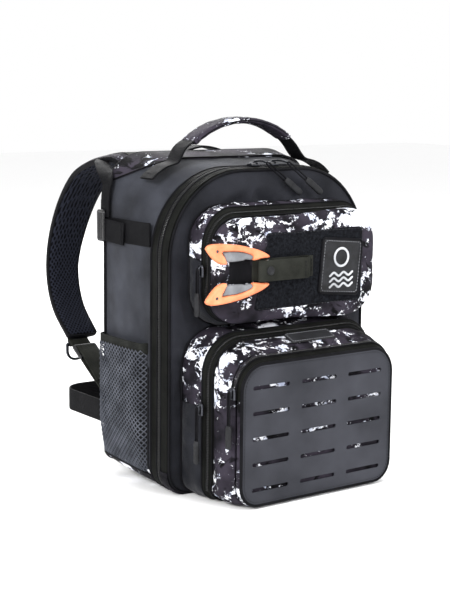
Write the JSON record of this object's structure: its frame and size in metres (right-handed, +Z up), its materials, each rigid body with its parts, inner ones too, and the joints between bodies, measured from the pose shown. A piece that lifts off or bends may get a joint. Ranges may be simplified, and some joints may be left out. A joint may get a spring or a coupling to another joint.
{
  "type": "tackle backpack",
  "caption": "Small square backpack with a zipped front door, stacked front pockets, a slotted attachment panel, side mesh pockets and pliers in a front holster.",
  "frame": {"origin": "on the ground under the pack, centred left to right, inside the pack's flat base", "axes": "+Z up, -Y is the front of the pack with its pockets, +X is its left-hand side as worn reversed: the right of someone looking at the front"},
  "size_m": [0.2832, 0.3844, 0.389],
  "materials": {
    "body_cloth": "fine charcoal oxford weave, slight sheen",
    "patterned_cloth": "printed with a jagged white and black splatter",
    "panel_cloth": "laminated ripstop, laser-cut slots",
    "zip_tape": "black woven tape with a nylon coil",
    "binding": "black piping and binding",
    "webbing": "ribbed nylon webbing",
    "mesh": "open black mesh",
    "air_mesh": "black spacer mesh over foam",
    "loop_pile": "fuzzy loop pile",
    "stiffener": "plain polyethylene sheet",
    "buckle_plastic": "moulded acetal",
    "ring_metal": "black coated",
    "slider_metal": "glossy gunmetal",
    "pull_rubber": "moulded sleeve on a cord loop",
    "grip_orange": "orange with grey inlays",
    "plier_steel": "dark satin",
    "patch": null
  },
  "bodies": {
    "pack": {"main_shell": "body_cloth", "base_panel": "body_cloth", "back_panel": "body_cloth", "frame_sheet": "stiffener", "base_board": "stiffener", "yoke_panel": "patterned_cloth", "shell_zip_tape": "zip_tape", "side_piping": "binding", "mesh_pocket_left": "mesh", "mesh_pocket_right": "mesh", "pocket_hems": "webbing", "compression_strap_left": "webbing", "compression_strap_right": "webbing", "strap_buckles": "buckle_plastic", "stabiliser_straps": "webbing", "shoulder_strap_left": "patterned_cloth", "shoulder_strap_right": "patterned_cloth", "strap_webbing_left": "webbing", "strap_webbing_right": "webbing", "strap_adjusters": "buckle_plastic", "back_pads": "air_mesh", "lumbar_pad": "air_mesh", "waist_belt_left": "webbing", "waist_belt_right": "webbing", "belt_buckle_socket": "buckle_plastic", "handle_tabs": "webbing", "haul_loop": "webbing"},
    "top_handle": {"handle_webbing": "webbing", "handle_grip": "patterned_cloth"},
    "ring_left": {"d_ring_left": "ring_metal"},
    "ring_right": {"d_ring_right": "ring_metal"},
    "belt_plug": {"belt_buckle_plug": "buckle_plastic"},
    "door": {"door_panel": "body_cloth", "door_zip_tape": "zip_tape", "door_piping": "binding", "door_corners": "patterned_cloth", "upper_pocket_tray": "patterned_cloth", "lower_pocket_rear": "patterned_cloth"},
    "upper_cover": {"upper_pocket_cover": "patterned_cloth", "loop_panel": "loop_pile", "front_patch": "patch", "holster_band": "webbing"},
    "pliers": {"plier_jaw_upper": "plier_steel", "plier_grip_upper": "grip_orange", "pivot_pin": "plier_steel"},
    "plier_half": {"plier_jaw_lower": "plier_steel", "plier_grip_lower": "grip_orange"},
    "front_compartment": {"lower_pocket_front": "patterned_cloth"},
    "front_flap": {"camo_backing": "patterned_cloth", "molle_panel": "panel_cloth"},
    "main_zip_left": {"main_slider_left": "slider_metal"},
    "main_zip_left_pull": {"main_pull_left": "pull_rubber"},
    "main_zip_right": {"main_slider_right": "slider_metal"},
    "main_zip_right_pull": {"main_pull_right": "pull_rubber"},
    "upper_zip": {"upper_slider": "slider_metal"},
    "upper_zip_pull": {"upper_pull": "pull_rubber"},
    "rear_zip": {"rear_slider": "slider_metal"},
    "rear_zip_pull": {"rear_pull": "pull_rubber"},
    "front_zip": {"front_slider": "slider_metal"},
    "front_zip_pull": {"front_pull": "pull_rubber"}
  },
  "joints": [
    {"name": "door_hinge", "type": "hinge", "parent": "pack", "child": "door", "pos_m": [0, -0.048, 0], "axis": [1, 0, 0], "range_deg": [0, 90]},
    {"name": "cover_hinge", "type": "hinge", "parent": "door", "child": "upper_cover", "pos_m": [0, -0.0925, 0.1845], "axis": [1, 0, 0], "range_deg": [0, 40]},
    {"name": "compartment_hinge", "type": "hinge", "parent": "door", "child": "front_compartment", "pos_m": [0, -0.1025, 0.0023], "axis": [1, 0, 0], "range_deg": [0, 60]},
    {"name": "flap_hinge", "type": "hinge", "parent": "front_compartment", "child": "front_flap", "pos_m": [0, -0.141, 0.0029], "axis": [1, 0, 0], "range_deg": [0, 45]},
    {"name": "handle_fold", "type": "hinge", "parent": "pack", "child": "top_handle", "pos_m": [0, -0.005, 0.36], "axis": [1, 0, 0], "range_deg": [-30, 30], "stiffness_Nm_per_rad": 0.05},
    {"name": "ring_left_swing", "type": "hinge", "parent": "pack", "child": "ring_left", "pos_m": [-0.097, 0.1815, 0.1225], "axis": [1, 0, 0], "range_deg": [-40, 40]},
    {"name": "ring_right_swing", "type": "hinge", "parent": "pack", "child": "ring_right", "pos_m": [0.097, 0.1815, 0.1225], "axis": [1, 0, 0], "range_deg": [-40, 40]},
    {"name": "buckle_release", "type": "slide", "parent": "pack", "child": "belt_plug", "axis": [-1, 0, 0], "range_m": [0, 0.014]},
    {"name": "main_left_travel", "type": "slide", "parent": "door", "child": "main_zip_left", "axis": [-1, 0, 0], "range_m": [0, 0.03]},
    {"name": "main_right_travel", "type": "slide", "parent": "door", "child": "main_zip_right", "axis": [1, 0, 0], "range_m": [0, 0.03]},
    {"name": "main_left_pull_swing", "type": "hinge", "parent": "main_zip_left", "child": "main_zip_left_pull", "pos_m": [-0.012, -0.048, 0.3448], "axis": [0, 1, 0], "range_deg": [-15, 0]},
    {"name": "main_right_pull_swing", "type": "hinge", "parent": "main_zip_right", "child": "main_zip_right_pull", "pos_m": [0.012, -0.048, 0.3448], "axis": [0, 1, 0], "range_deg": [-15, 0]},
    {"name": "upper_travel", "type": "slide", "parent": "door", "child": "upper_zip", "axis": [0, 0, 1], "range_m": [-0.03, 0.01]},
    {"name": "upper_pull_swing", "type": "hinge", "parent": "upper_zip", "child": "upper_zip_pull", "pos_m": [-0.1164, -0.0925, 0.243], "axis": [0, 1, 0], "range_deg": [0, 90]},
    {"name": "rear_travel", "type": "slide", "parent": "door", "child": "rear_zip", "axis": [0, 0, 1], "range_m": [-0.04, 0.03]},
    {"name": "rear_pull_swing", "type": "hinge", "parent": "rear_zip", "child": "rear_zip_pull", "pos_m": [-0.1229, -0.1025, 0.103], "axis": [0, 1, 0], "range_deg": [0, 90]},
    {"name": "front_travel", "type": "hinge", "parent": "front_compartment", "child": "front_zip", "pos_m": [-0.063, -0.141, 0.117], "axis": [0, 1, 0], "range_deg": [0, 50]},
    {"name": "front_pull_swing", "type": "hinge", "parent": "front_zip", "child": "front_zip_pull", "pos_m": [-0.1112, -0.141, 0.125], "axis": [0, 1, 0], "range_deg": [0, 90]},
    {"name": "plier_draw", "type": "slide", "parent": "upper_cover", "child": "pliers", "axis": [-1, 0, 0], "range_m": [0, 0.075]},
    {"name": "plier_open", "type": "hinge", "parent": "pliers", "child": "plier_half", "pos_m": [-0.034, -0.1146, 0.2385], "axis": [0, 1, 0], "range_deg": [-10, 0]}
  ]
}
